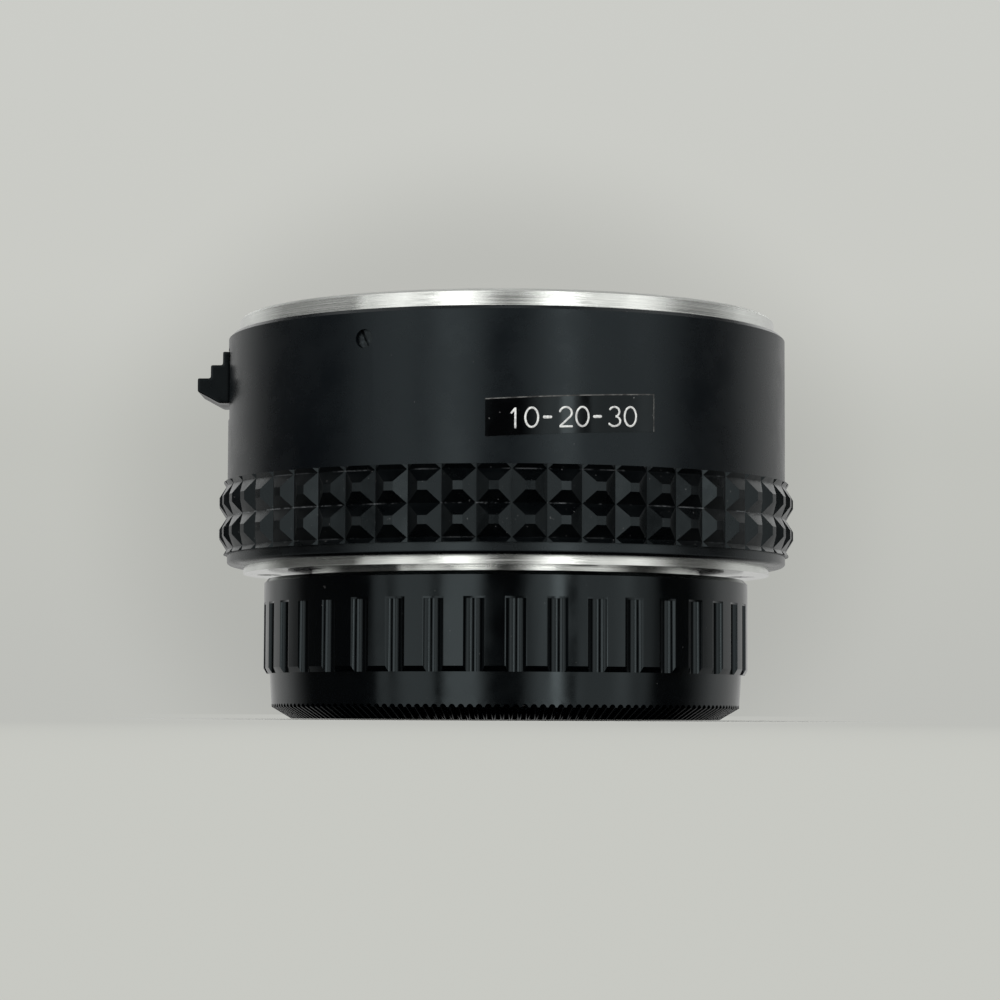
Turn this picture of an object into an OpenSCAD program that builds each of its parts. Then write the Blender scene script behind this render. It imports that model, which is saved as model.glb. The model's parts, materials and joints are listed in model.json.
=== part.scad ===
// Camera teleconverter for a three-lug bayonet, standing on its rear cap.
// Millimetres. The optical axis is Z, the lens side is up, and the cap's foot is at z = 0.
// The release slider is on the -X side. Angles are counted from +X towards +Y.
// Radii grow outwards and inwards from the bayonet's throat, and heights add up from the cap's foot.

/* [Bayonets] */
// Radius between the inner ends of the three front lugs, which sets every other radius
throat_r = 22.05; // [21.5:0.05:22.6]
// Reach of the front lugs
lug_reach = 2.05; // [1.9:0.05:2.2]
// Thickness of the front ring's lugs
front_lug_t = 1.4; // [1:0.1:1.7]
// Angle that each front lug spans
front_lug_a = 60; // [50:1:62]
// Relief behind the lugs of both bayonets
lug_relief = 0.15; // [0.05:0.05:0.3]
// Radial play of the male collar in such a throat
male_play = 0.05; // [0.02:0.01:0.2]
// Wall of the male collar
male_wall = 1.3; // [1.1:0.05:1.4]
// Length of the male collar under the rear flange face
male_l = 5; // [4.7:0.1:5.4]
// Reach of the male lugs
male_lug_reach = 1.85; // [1.6:0.05:1.9]
// Thickness of the male lugs
male_lug_t = 1.4; // [1:0.1:1.5]
// Angle that each male lug spans
male_lug_a = 56; // [50:1:58]

/* [Front mount] */
// Thickness of the front ring's flange
front_flange_t = 1.75; // [1.6:0.05:2.2]
// Inset of the front ring from the barrel's surface
front_ring_inset = 1.25; // [0.7:0.05:1.9]
// Edge rounding of the front ring
front_edge = 0.25; // [0.1:0.05:0.5]
// Wall of the collar under the front ring
collar_wall = 1.1; // [0.9:0.05:1.3]
// Length of that collar
front_collar_l = 1.7; // [1.2:0.1:1.9]
// Wall of the front mount base round the collar
base_wall = 3.69; // [3.5:0.01:4]
// Height of the front mount base
base_h = 4.6; // [4.5:0.1:5.2]
// Depth of the ledge that carries the leaf spring
ledge_drop = 2.6; // [2.4:0.1:3]
// Reach of that ledge inside the collar
ledge_reach = 0.5; // [0.3:0.1:0.8]
// Thickness of the leaf spring
leaf_t = 0.3; // [0.2:0.05:0.4]
// Rise of the leaf spring's fingers
leaf_rise = 0.9; // [0.5:0.1:1]

/* [Barrel] */
// Wall of the barrel where nothing is recessed
barrel_wall = 2.4; // [2.3:0.1:2.7]
// Height of the barrel over the grip
barrel_h = 16.49; // [16:0.01:18]
// Bevel along the top edge
barrel_bevel = 0.4; // [0.1:0.1:0.8]
// Step from the barrel's top edge to the seat of the front ring
front_step = 0.1; // [0.05:0.05:0.3]
// Clear height between the front mount base and the web that carries the lens cell
web_drop = 3.8; // [3.6:0.1:4.2]
// Thickness of that web
web_t = 1.5; // [1:0.1:2]
// Length of the web's boss above the aperture rings
web_boss = 1.5; // [1:0.1:2]

/* [Grip] */
// Height of the grip
grip_h = 8.07; // [7:0.01:10]
// Reach of the pyramids' flat tops past the barrel's surface
grip_proud = 0.9; // [0.5:0.05:1.6]
// Reach of the valleys past the barrel's surface
grip_valley_proud = 0.1; // [0:0.05:0.3]
// Depth of the seat that the rubber lies on, under the barrel's surface
grip_seat_d = 1.25; // [1:0.05:1.6]
// Height of the cut row at each edge of the grip
grip_rim = 0.5; // [0.2:0.05:0.8]
// Pyramids round the grip
grip_count = 54; // [30:1:80]
// Turn of the grip's first valley from the front
grip_turn = 0.8; // [0:0.1:6]
// Rows of pyramids
grip_rows = 2; // [1:1:4]
// Part of a pyramid's width that its flat top takes
grip_top_share = 0.26; // [0.1:0.02:0.5]

/* [Screws] */
// Shank radius of the flange screws
screw_r = 0.85; // [0.7:0.05:1]
// Head radius of the flange screws
screw_head_r = 1.6; // [1.3:0.05:1.7]
// Length of the flange screws
screw_l = 3.6; // [3:0.1:4]
// Screws in each flange
screw_count = 5; // [3:1:5]
// Radius of the barrel set screws
set_screw_r = 0.97; // [0.8:0.01:1.2]
// Length of the barrel set screws
set_screw_l = 3; // [2.6:0.1:3.2]
// Depth of the barrel set screws under the barrel's top edge
set_screw_drop = 3.18; // [2.9:0.02:3.3]
// Number of barrel set screws
set_screw_count = 3; // [2:1:3]
// Angle of the first barrel set screw
set_screw_a = 241.3; // [236:0.1:246]
// Lean of the set screw's slot from upright
set_slot_a = 28; // [0:1:90]
// Shank radius of the small screws inside
small_screw_r = 0.5; // [0.4:0.05:0.6]
// Head radius of the small screws inside
small_head_r = 0.85; // [0.7:0.05:0.9]

/* [Rear housing and mount] */
// Step from the barrel's surface in to the rear housing
rear_step = 0; // [0:0.05:0.5]
// Height of the rear housing's side under the grip
housing_h = 1.3; // [1:0.1:2]
// Height over which the housing's lower edge curves in
rear_curve_h = 0.46; // [0.2:0.02:0.6]
// Radial depth of that curve
rear_curve_d = 1; // [0.6:0.05:1.2]
// Height of the rear housing's spigot inside the barrel
spigot_h = 2.76; // [2:0.02:3.6]
// Thickness of the rear flange
rear_flange_t = 0.83; // [0.7:0.01:1]
// Inset of the rear flange from the rear housing's side
rear_flange_inset = 1.85; // [1.4:0.05:2]

/* [Optics] */
// Wall of the lens cell round the front element
cell_wall = 2.5; // [2:0.1:3]
// Wall of the lens cell round the elements behind it
rear_cell_wall = 4; // [3.6:0.1:4.4]
// Width of the cell's flange on the web
cell_flange_w = 1.7; // [1.2:0.1:1.9]
// Thickness of the cell's flange
cell_flange_t = 1.2; // [1:0.1:1.6]
// Depth under the web of the lip between the front element and the rear stack
cell_lip_drop = 0.4; // [0:0.1:0.8]
// Thickness of that lip
cell_lip_t = 0.8; // [0.5:0.1:1]
// Reach of that lip
lip_reach = 0.9; // [0.6:0.1:1.4]
// Edge thickness of the front element
front_glass_t = 2.6; // [2.2:0.1:3]
// Edge thickness of the second element
second_glass_t = 2.9; // [2.6:0.1:3]
// Edge thickness of the third element
third_glass_t = 2.7; // [2.4:0.1:2.9]
// Length of the spacer behind the third element
mid_gap = 2.4; // [2.2:0.1:2.6]
// Edge thickness of the fourth element
fourth_glass_t = 3.2; // [3:0.1:3.4]
// Length of the spacer before the rear element
rear_gap = 1.4; // [1.3:0.1:1.6]
// Edge thickness of the rear element
rear_glass_t = 2.6; // [2.4:0.1:2.7]
// Length of each retaining ring
retainer_l = 1.2; // [1:0.1:1.3]
// Thickness of the rear baffle
baffle_t = 0.8; // [0.5:0.1:0.9]
// Width of the baffle's window, as a part of the glass behind it
window_w_share = 0.84; // [0.7:0.02:0.88]
// Height of the baffle's window, as a part of the glass behind it
window_h_share = 0.56; // [0.48:0.02:0.64]

/* [Aperture rings] */
// Radial thickness of the arms that cross the converter
arm_t = 1.2; // [0.9:0.05:1.3]
// Angle that an arm spans
arm_a = 9; // [6:1:12]
// Radial step from the aperture rings out to their arms
arm_step = 0.5; // [0.4:0.05:0.8]
// Radial width of the aperture rings
ring_w = 1.9; // [1.6:0.1:2]
// Thickness of each aperture ring
ring_t = 1.9; // [1.6:0.1:2]
// Angle of the coupler arms at rest
coupler_a = 248; // [245:1:260]
// Turn of the aperture coupler
coupler_turn = 60; // [40:1:64]
// Angle of the lever arms at rest
lever_a = 118; // [110:1:130]
// Turn of the aperture lever
lever_turn = 14; // [8:1:20]
// Depth of the coupler's front end under the front flange face
coupler_sunk = 1.65; // [1.2:0.05:2.4]
// Reach of the coupler's rear end past the male collar
coupler_reach = 2.5; // [1.5:0.1:3]
// Depth of the lever's front end under the front flange face
lever_sunk = 2.25; // [1.2:0.05:2.6]
// Reach of the lever's rear end past the male collar
lever_reach = 3.7; // [2:0.1:4.2]
// Thickness of the circlip under the rings
circlip_t = 0.7; // [0.5:0.05:0.8]

/* [Lens release] */
// Radius of the lock pin
pin_r = 1.1; // [0.9:0.05:1.2]
// Height of the lock pin above the front flange
pin_proud = 1.1; // [0.8:0.1:1.3]
// Travel of the release slider
release_travel = 1.6; // [1.5:0.1:1.8]
// Depth of the flat that the slider runs on, from the barrel's surface
flat_depth = 0.45; // [0.4:0.05:0.6]
// Width of the slider
slider_w = 8; // [7:0.5:9]
// Depth of the slider's top end under the barrel's top edge
slider_drop = 1.85; // [1.7:0.05:2]
// Height of each of the slider's two upper steps
slider_step_h = 1.5; // [1.4:0.1:1.7]
// Height of the slider's outermost face
slider_grip_h = 1.5; // [1.3:0.1:1.6]
// Height over which the slider slopes back
slider_slope_h = 1.3; // [1.1:0.1:1.4]
// Reach of the slider's tongue past the barrel
slider_tongue = 0.45; // [0.4:0.05:0.8]
// Reach of the slider's first step
slider_step1 = 1.8; // [1.6:0.05:2.4]
// Reach of the slider's second step
slider_step2 = 3.25; // [3:0.05:4]
// Reach of the slider's lower end
slider_heel = 0.85; // [0.7:0.05:1.6]
// Width of the neck through the barrel's wall
neck_w = 6; // [5.4:0.1:6.2]
// Height of that neck
neck_h = 2.6; // [2.4:0.1:3]
// Thickness of the slide plate
plate_t = 0.6; // [0.5:0.05:0.65]
// Thickness of the slide plate's foot
foot_t = 1.2; // [1:0.1:1.3]
// Wire of the pin spring
pin_wire = 0.3; // [0.2:0.02:0.34]
// Turns of the pin spring
pin_turns = 5; // [4:1:6]
// Wire of the lever's return spring
lever_wire = 0.5; // [0.3:0.05:0.6]
// Turns of the lever's return spring
lever_turns = 3; // [2:1:4]

/* [Index marks] */
// Radius of the index dots
dot_r = 0.9; // [0.6:0.05:1]
// Angle of the index dots
dot_a = 108; // [100:1:116]
// Depth of the index dots
dot_d = 0.4; // [0.2:0.05:0.5]

/* [Rear cap] */
// Height of the knurled chamfer at the foot
knurl_h = 1.3; // [1:0.01:1.8]
// Radial depth of the knurled chamfer
knurl_run = 2.2; // [1.6:0.05:2.6]
// Radius of a serration's round cut
serration_r = 0.38; // [0.3:0.02:0.4]
// Lift of that cut's axis off the chamfer
serration_lift = 0.1; // [0.02:0.02:0.16]
// Serrations round the chamfer
serration_count = 172; // [100:1:180]
// Height of the skirt between the chamfer and the lands
skirt_h = 3.69; // [2.6:0.01:4.4]
// Inset of the skirt from the lands
skirt_inset = 0.7; // [0.7:0.05:1.1]
// Draft of the skirt down to the chamfer
skirt_draft = 0.25; // [0.05:0.05:0.4]
// Height of the wall over the skirt
land_h = 10.56; // [10:0.02:12]
// Depth of the bevel at the lower ends of the lands
land_edge_d = 0.33; // [0.1:0.01:0.5]
// Height of that bevel
land_edge_h = 0.6; // [0.1:0.05:0.8]
// Wall of the cap
cap_wall = 2.55; // [2.4:0.05:3]
// Radial play of the male lugs in the cap
cap_play = 0.75; // [0.4:0.05:1]
// Rounding of the cap's upper edge
cap_round = 0.45; // [0.2:0.05:0.8]
// Gap between the cap's upper edge and the rear flange
cap_gap = 0.56; // [0.4:0.02:0.8]
// Flutes round the cap
flute_count = 39; // [24:1:48]
// Turn of the first flute from the front
flute_turn = 2; // [0:0.1:9]
// Width of a flute
flute_w = 2.2; // [1.6:0.05:2.6]
// Depth of a flute
flute_d = 0.65; // [0.4:0.05:0.65]
// Width of the shallow lip round a flute
flute_lip_w = 0.2; // [0.1:0.05:0.3]
// Depth of that lip
flute_lip_d = 0.12; // [0.06:0.02:0.16]
// Plain rim of the cap above the flutes
flute_rim = 2.91; // [2.2:0.01:3.6]
// Thickness of the cap's floor
cap_floor = 1.9; // [1.7:0.1:2.4]
// Inset of the ring groove under the cap from the chamfer's foot
foot_groove_inset = 4.05; // [2:0.05:8]
// Width of that groove
foot_groove_w = 0.8; // [0.4:0.1:1.2]
// Depth of that groove
foot_groove_d = 0.4; // [0.2:0.05:0.6]
// Thickness of the cap's inner lugs
cap_lug_t = 1.4; // [1:0.1:1.5]
// Angle that each cap lug spans
cap_lug_a = 54; // [48:1:56]

/* [Fits] */
// Running clearance of turning and sliding pieces
run_gap = 0.06; // [0.03:0.01:0.1]
// Clearance between pieces that are screwed together
fit_gap = 0.03; // [0.02:0.01:0.05]
// Clearance where a moving piece passes another
free_gap = 0.3; // [0.2:0.05:0.4]

/* [Hidden] */
$fn = 96;
eps = 0.01;
full_turn = 360;
half_turn = 180;
pin_a = half_turn;
slot_extra_a = 1;
lug_centres = [0 : full_turn / 3 : full_turn - eps];
screw_step = full_turn / screw_count;

// Radii from the throat outwards
throat_gap_r = throat_r + lug_reach;
front_collar_r = throat_gap_r + collar_wall;
base_bore_r = front_collar_r + fit_gap;
base_r = base_bore_r + base_wall;
barrel_bore_r = base_r + fit_gap;
barrel_r = barrel_bore_r + barrel_wall;
base_ledge_r = throat_gap_r - ledge_reach;
front_ring_r = barrel_r - front_ring_inset;
front_screw_r = (base_bore_r + base_r) / 2;
pin_place_r = base_bore_r + pin_r + free_gap;
grip_peak_r = barrel_r + grip_proud;
grip_valley_r = barrel_r + grip_valley_proud;
grip_seat_r = barrel_r - grip_seat_d;
rear_housing_r = barrel_r - rear_step;
rear_flange_r = rear_housing_r - rear_flange_inset;
dot_place_r = rear_flange_r - dot_r - free_gap;
flat_x = barrel_r - flat_depth;
slider_x = flat_x + run_gap;
plate_x = barrel_bore_r - free_gap - run_gap;
plate_w = neck_w + small_screw_r;

// Radii of the rear mount and the cap
male_r = throat_r - male_play;
male_bore_r = male_r - male_wall;
male_lug_r = male_r + male_lug_reach;
rear_screw_r = (male_lug_r + base_r) / 2;
cap_bore_r = male_lug_r + cap_play;
cap_r = cap_bore_r + cap_wall;
skirt_r = cap_r - skirt_inset;
skirt_low_r = skirt_r - skirt_draft;
cap_foot_r = skirt_low_r - knurl_run;
foot_groove_r = cap_foot_r - foot_groove_inset;

// Radii from the male collar's bore inwards
baffle_r = male_bore_r - free_gap;
arm_r = baffle_r - free_gap - arm_t;
ring_r = arm_r - arm_step;
cell_r = ring_r - ring_w;
cell_flange_r = cell_r + cell_flange_w;
web_bore_r = cell_r + fit_gap;
front_glass_r = cell_r - cell_wall;
rear_glass_r = cell_r - rear_cell_wall;
cell_lip_r = rear_glass_r - lip_reach;
clear_r = cell_lip_r - fit_gap;
window_w = 2 * rear_glass_r * window_w_share;
window_h = 2 * rear_glass_r * window_h_share;
spring_r = cell_r + free_gap + lever_wire / 2;
pin_spring_r = pin_r - pin_wire / 2;

// Heights from the cap's foot to the front flange face
land_low_z = knurl_h + skirt_h;
cap_top_z = land_low_z + land_h;
flute_top_z = cap_top_z - flute_rim;
rear_face_z = cap_top_z + cap_gap;
rear_seat_z = rear_face_z + rear_flange_t;
rear_curve_z = rear_seat_z + rear_curve_h;
grip_low_z = rear_seat_z + housing_h;
rear_housing_top_z = grip_low_z + spigot_h;
grip_high_z = grip_low_z + grip_h;
barrel_top_z = grip_high_z + barrel_h;
front_seat_z = barrel_top_z + front_step;
front_face_z = front_seat_z + front_flange_t;
male_low_z = rear_face_z - male_l;
cap_lug_z = male_low_z + male_lug_t + run_gap;

// Heights inside the barrel, from its top edge down
base_low_z = front_seat_z - base_h;
base_ledge_z = front_seat_z - ledge_drop;
web_top_z = base_low_z - web_drop;
web_z = web_top_z - web_t;
set_screw_z = barrel_top_z - set_screw_drop;
dot_z = barrel_top_z - 3 * dot_r;
slider_top_z = barrel_top_z - slider_drop;
slider_step1_z = slider_top_z - slider_step_h;
slider_step2_z = slider_step1_z - slider_step_h;
slider_tip_z = slider_step2_z - slider_grip_h;
slider_low_z = slider_tip_z - slider_slope_h;
neck_z = web_top_z + release_travel + free_gap;
foot_top_z = base_ledge_z - free_gap;
foot_z = foot_top_z - foot_t;
coupler_top_z = front_face_z - coupler_sunk;
coupler_low_z = male_low_z - coupler_reach;
lever_top_z = front_face_z - lever_sunk;
lever_low_z = male_low_z - lever_reach;
coupler_z = web_z - web_boss - ring_t - run_gap;
lever_z = coupler_z - ring_t - run_gap;
circlip_z = lever_z - circlip_t - run_gap;

// Heights of the glass, from the lip down
cell_lip_z = web_z - cell_lip_drop;
lip_top_z = cell_lip_z + cell_lip_t;
cell_front_z = lip_top_z + front_glass_t + retainer_l;
second_low_z = cell_lip_z - second_glass_t;
third_low_z = second_low_z - third_glass_t;
spacer_low_z = third_low_z - mid_gap;
fourth_low_z = spacer_low_z - fourth_glass_t;
rear_spacer_low_z = fourth_low_z - rear_gap;
rear_glass_low_z = rear_spacer_low_z - rear_glass_t;
cell_rear_z = rear_glass_low_z - retainer_l;
baffle_low_z = cell_rear_z - baffle_t;

// A ring between two radii and two heights.
module ring(outer, inner, low, high) {
    rotate_extrude() translate([inner, low]) square([outer - inner, high - low]);
}

// A sector of such a ring, centred on one angle.
module arc_block(outer, inner, low, high, centre, span) {
    rotate([0, 0, centre - span / 2])
        rotate_extrude(angle = span) translate([inner, low]) square([outer - inner, high - low]);
}

// Puts the children at a radius and an angle.
module at(radius, angle, height) {
    rotate([0, 0, angle]) translate([radius, 0, height]) children();
}

// A countersunk screw with its head upwards at z = 0, with a cross recess.
module flange_screw(r, head_r, length) {
    head_h = head_r - r;
    slot_w = r / 2;
    difference() {
        rotate_extrude() polygon([[0, 0], [head_r, 0], [r, -head_h], [r, -length], [0, -length]]);
        for (turn = [0, 90]) rotate([0, 0, turn])
            translate([-r, -slot_w / 2, -head_h]) cube([2 * r, slot_w, head_h + eps]);
    }
}

// The hole that such a screw sits in, up to its seat.
module flange_screw_hole(r, head_r, length) {
    wide = head_r + fit_gap;
    rotate_extrude() polygon([
        [0, eps], [wide, eps], [wide, -fit_gap], [r + fit_gap, r - head_r - fit_gap],
        [r + fit_gap, -length - fit_gap], [0, -length - fit_gap]
    ]);
}

// The points of a spherical face from the axis to the clear radius, as [radius, sag].
function face(sag) =
    let (steps = 10, ball = (clear_r * clear_r + sag * sag) / (2 * abs(sag)))
    [for (i = [0 : steps]) let (x = clear_r * i / steps)
        [x, sign(sag) * (sqrt(ball * ball - x * x) - ball + abs(sag))]];

// A lens with a flat rim, from its rim heights and the sag of each face, positive where it bulges out.
module lens(r, low, high, top_sag, low_sag) {
    top = face(top_sag);
    bottom = face(low_sag);
    last = len(bottom) - 1;
    rotate_extrude() polygon(concat(
        [for (p = top) [p[0], high + p[1]]], [[r, high], [r, low]],
        [for (i = [last : -1 : 0]) [bottom[i][0], low - bottom[i][1]]]
    ));
}

// A coil spring swept as one polyhedron with closed flat ends.
module coil(mean_r, wire, low, high, turns, per_turn) {
    sides = 6;
    rings = turns * per_turn;
    rise = (high - low - wire) / rings;
    points = [for (k = [0 : rings], s = [0 : sides - 1])
        let (a = full_turn * k / per_turn, b = full_turn * s / sides, r = mean_r + wire / 2 * cos(b))
        [r * cos(a), r * sin(a), low + wire / 2 + rise * k + wire / 2 * sin(b)]];
    walls = [for (k = [0 : rings - 1], s = [0 : sides - 1])
        let (p = k * sides + s, q = k * sides + (s + 1) % sides)
        each [[p, q, q + sides], [p, q + sides, p + sides]]];
    first = [for (s = [sides - 1 : -1 : 0]) s];
    last = [for (s = [0 : sides - 1]) rings * sides + s];
    polyhedron(points, concat(walls, [first, last]), convexity = 10);
}

// The outline of the grip: whole rows between two valleys each, and a cut row at each edge.
function grip_outline() =
    let (row = (grip_h - 2 * grip_rim) / grip_rows, rise = row * (1 - grip_top_share) / 2,
        slope = (grip_peak_r - grip_valley_r) / rise, rim_r = grip_valley_r + slope * grip_rim)
    concat([[grip_seat_r + fit_gap, grip_low_z], [rim_r, grip_low_z]],
        [for (i = [0 : grip_rows - 1]) let (z = grip_low_z + grip_rim + i * row)
            each [[grip_valley_r, z], [grip_peak_r, z + rise], [grip_peak_r, z + row - rise]]],
        [[grip_valley_r, grip_high_z - grip_rim], [rim_r, grip_high_z],
            [grip_seat_r + fit_gap, grip_high_z]]);

// The waffle grip: a turned outline, parted into pyramids by upright V grooves.
module grip_ring() {
    step = full_turn / grip_count;
    open_w = PI * grip_peak_r / grip_count * (1 - grip_top_share);
    deep = grip_peak_r - grip_valley_r;
    color("#1b1c1e") difference() {
        rotate_extrude() polygon(grip_outline());
        for (i = [0 : grip_count - 1]) rotate([0, 0, i * step + grip_turn - half_turn / 2])
            translate([0, 0, grip_low_z - eps]) linear_extrude(grip_h + 2 * eps) polygon([
                [grip_valley_r - fit_gap, 0], [grip_valley_r + 2 * deep, -2 * open_w],
                [grip_valley_r + 2 * deep, 2 * open_w]
            ]);
    }
}

// The barrel: one turned tube with the web that carries the lens cell, and the flat for the slider.
module main_barrel() {
    shoulder_z = grip_high_z + fit_gap;
    color("#23262b") difference() {
        rotate_extrude() polygon([
            [barrel_bore_r, grip_low_z + fit_gap], [grip_seat_r, grip_low_z + fit_gap],
            [grip_seat_r, shoulder_z], [barrel_r, shoulder_z],
            [barrel_r, barrel_top_z - barrel_bevel], [barrel_r - barrel_bevel, barrel_top_z],
            [barrel_bore_r, barrel_top_z], [barrel_bore_r, web_top_z], [web_bore_r, web_top_z],
            [web_bore_r, web_z - web_boss], [ring_r, web_z - web_boss],
            [ring_r, web_z], [barrel_bore_r, web_z]
        ]);
        arm_slot(web_z - eps, web_top_z + eps, coupler_a, coupler_turn);
        arm_slot(web_z - eps, web_top_z + eps, lever_a, lever_turn);
        translate([-barrel_r - eps, -barrel_r, slider_low_z - release_travel - free_gap]) cube([
            flat_depth + eps, 2 * barrel_r, slider_top_z + 2 * free_gap + release_travel - slider_low_z
        ]);
        translate([-barrel_r, -neck_w / 2 - run_gap, neck_z - release_travel - run_gap])
            cube([2 * barrel_wall, neck_w + 2 * run_gap, neck_h + release_travel + 2 * run_gap]);
        set_screw_holes();
        at(barrel_r - dot_d, dot_a, dot_z) rotate([0, 90, 0])
            cylinder(r = dot_r + fit_gap, h = dot_d + eps);
    }
}

// The slot in which a pair of arms swings.
module arm_slot(low, high, rest_a, turn) {
    span = turn + arm_a + 2 * slot_extra_a;
    arc_block(arm_r + arm_t + free_gap, arm_r - free_gap, low, high, rest_a + turn / 2, span);
}

// The radial holes for the set screws.
module set_screw_holes() {
    for (i = [0 : set_screw_count - 1])
        at(barrel_r - barrel_wall - set_screw_l, set_screw_a + i * full_turn / set_screw_count, set_screw_z)
            rotate([0, 90, 0]) cylinder(r = set_screw_r + fit_gap, h = set_screw_l + 2 * barrel_wall);
}

// The slotted set screws that hold the front mount base in the barrel.
module barrel_set_screws() {
    slot_w = set_screw_r / 3;
    color("#17181a") for (i = [0 : set_screw_count - 1])
        at(flat_x - set_screw_l, set_screw_a + i * full_turn / set_screw_count, set_screw_z)
            rotate([0, 90, 0]) difference() {
                cylinder(r = set_screw_r, h = set_screw_l);
                rotate([0, 0, set_slot_a]) translate([-set_screw_r - eps, -slot_w / 2, set_screw_l - slot_w])
                    cube([2 * (set_screw_r + eps), slot_w, slot_w + eps]);
            }
}

// The ring inside the barrel that carries the front ring, the leaf spring and the lock pin.
module front_mount_base() {
    color("#202226") difference() {
        union() {
            ring(base_r, base_ledge_r, base_low_z, base_ledge_z);
            ring(base_r, base_bore_r, base_ledge_z - eps, front_seat_z);
        }
        set_screw_holes();
        front_screw_places() flange_screw_hole(screw_r, screw_head_r, screw_l);
        translate([-barrel_r, -plate_w / 2 - free_gap, base_low_z - eps]) cube([
            barrel_r - base_ledge_r + 2 * free_gap + run_gap, plate_w + 2 * free_gap,
            foot_top_z + run_gap - base_low_z + eps
        ]);
        at(pin_place_r, pin_a, base_low_z) cylinder(r = pin_r + run_gap, h = front_face_z - base_low_z);
    }
}

// The places of the front screws, heads flush with the flange face.
module front_screw_places() {
    for (i = [0 : screw_count - 1]) at(front_screw_r, i * screw_step, front_face_z) children();
}

// The three gaps that part a full lug flange into lugs.
module lug_gaps(outer, inner, low, high, lug_a) {
    for (centre = lug_centres)
        arc_block(outer, inner, low, high, centre + full_turn / 6, full_turn / 3 - lug_a);
}

// The female bayonet ring with its three lugs.
module front_mount_ring() {
    lug_low_z = front_face_z - front_lug_t;
    relief_r = throat_gap_r + lug_relief;
    color("#d9dadb") difference() {
        rotate_extrude() polygon([
            [relief_r, front_seat_z - front_collar_l], [front_collar_r, front_seat_z - front_collar_l],
            [front_collar_r, front_seat_z], [front_ring_r, front_seat_z],
            [front_ring_r, front_face_z - front_edge], [front_ring_r - front_edge, front_face_z],
            [throat_r, front_face_z], [throat_r, lug_low_z], [relief_r, lug_low_z]
        ]);
        lug_gaps(throat_gap_r, throat_r - front_lug_t, lug_low_z - eps, front_face_z + eps, front_lug_a);
        front_screw_places() flange_screw_hole(screw_r, screw_head_r, screw_l);
        at(pin_place_r, pin_a, front_seat_z - eps)
            cylinder(r = pin_r + run_gap, h = front_face_z - front_seat_z + 2 * eps);
    }
}

// The screws of the front ring.
module front_mount_screws() {
    color("#c9cacb") front_screw_places() flange_screw(screw_r, screw_head_r, screw_l);
}

// The flat spring ring that presses a lens's lugs forward, with three raised fingers.
module bayonet_leaf_spring() {
    outer = front_collar_r - run_gap;
    low = base_ledge_z;
    finger_in = throat_r + free_gap;
    finger_out = throat_gap_r - free_gap;
    raised_in = finger_in + leaf_t / 2;
    finger_a = front_lug_a / 2;
    riser_a = finger_a / 20;
    color("#b9bcc0") union() {
        ring(outer, finger_in, low, low + leaf_t);
        for (centre = lug_centres) {
            arc_block(finger_out, raised_in, low + leaf_rise - leaf_t, low + leaf_rise, centre, finger_a);
            arc_block(finger_out, raised_in, low + leaf_t / 2, low + leaf_rise - leaf_t / 2,
                centre - (finger_a - riser_a) / 2, riser_a);
        }
    }
}

// The painted index dot on the barrel.
module front_index_dot() {
    color("#c62a25") at(barrel_r - dot_d, dot_a, dot_z) rotate([0, 90, 0])
        cylinder(r = dot_r, h = dot_d - fit_gap);
}

// The black rear housing with the curved edge that shows under the grip.
module rear_housing() {
    curve_h = rear_curve_z - rear_seat_z;
    steps = 8;
    curve = [for (i = [0 : steps]) let (a = 90 * i / steps)
        [rear_housing_r - rear_curve_d * (1 - sin(a)), rear_curve_z - curve_h * cos(a)]];
    color("#1d1f22") difference() {
        rotate_extrude() polygon(concat(curve, [
            [rear_housing_r, grip_low_z], [base_r, grip_low_z], [base_r, rear_housing_top_z],
            [male_lug_r, rear_housing_top_z], [male_lug_r, rear_seat_z]
        ]));
        rear_screw_places() flange_screw_hole(screw_r, screw_head_r, screw_l);
        pin_hole();
    }
}

// The places of the rear screws, heads flush with the rear flange face.
module rear_screw_places() {
    for (i = [0 : screw_count - 1])
        at(rear_screw_r, i * screw_step, rear_face_z) mirror([0, 0, 1]) children();
}

// The hole in the rear flange that the camera's lock pin drops into.
module pin_hole() {
    at(pin_place_r, pin_a, rear_face_z - eps)
        cylinder(r = pin_r + free_gap, h = rear_seat_z - rear_face_z + pin_proud);
}

// The male bayonet ring with its three lugs.
module rear_mount_ring() {
    spigot_r = male_lug_r - fit_gap;
    lug_top_z = male_low_z + male_lug_t;
    neck_r = male_r - lug_relief;
    color("#d4d6d8") difference() {
        rotate_extrude() polygon([
            [male_bore_r, male_low_z], [male_lug_r, male_low_z], [male_lug_r, lug_top_z], [neck_r, lug_top_z],
            [neck_r, rear_face_z], [rear_flange_r, rear_face_z], [rear_flange_r, rear_seat_z],
            [spigot_r, rear_seat_z], [spigot_r, rear_seat_z + male_lug_t],
            [male_bore_r, rear_seat_z + male_lug_t]
        ]);
        lug_gaps(male_lug_r + male_lug_t, male_r, male_low_z - eps, lug_top_z + eps, male_lug_a);
        rear_screw_places() flange_screw_hole(screw_r, screw_head_r, screw_l);
        pin_hole();
        at(dot_place_r, dot_a, rear_face_z - eps) cylinder(r = dot_r + fit_gap, h = dot_d + eps);
    }
}

// The screws of the rear ring.
module rear_mount_screws() {
    color("#c9cacb") rear_screw_places() flange_screw(screw_r, screw_head_r, screw_l);
}

// The painted index dot on the rear flange.
module rear_index_dot() {
    color("#c62a25") at(dot_place_r, dot_a, rear_face_z) cylinder(r = dot_r, h = dot_d - fit_gap);
}

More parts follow.
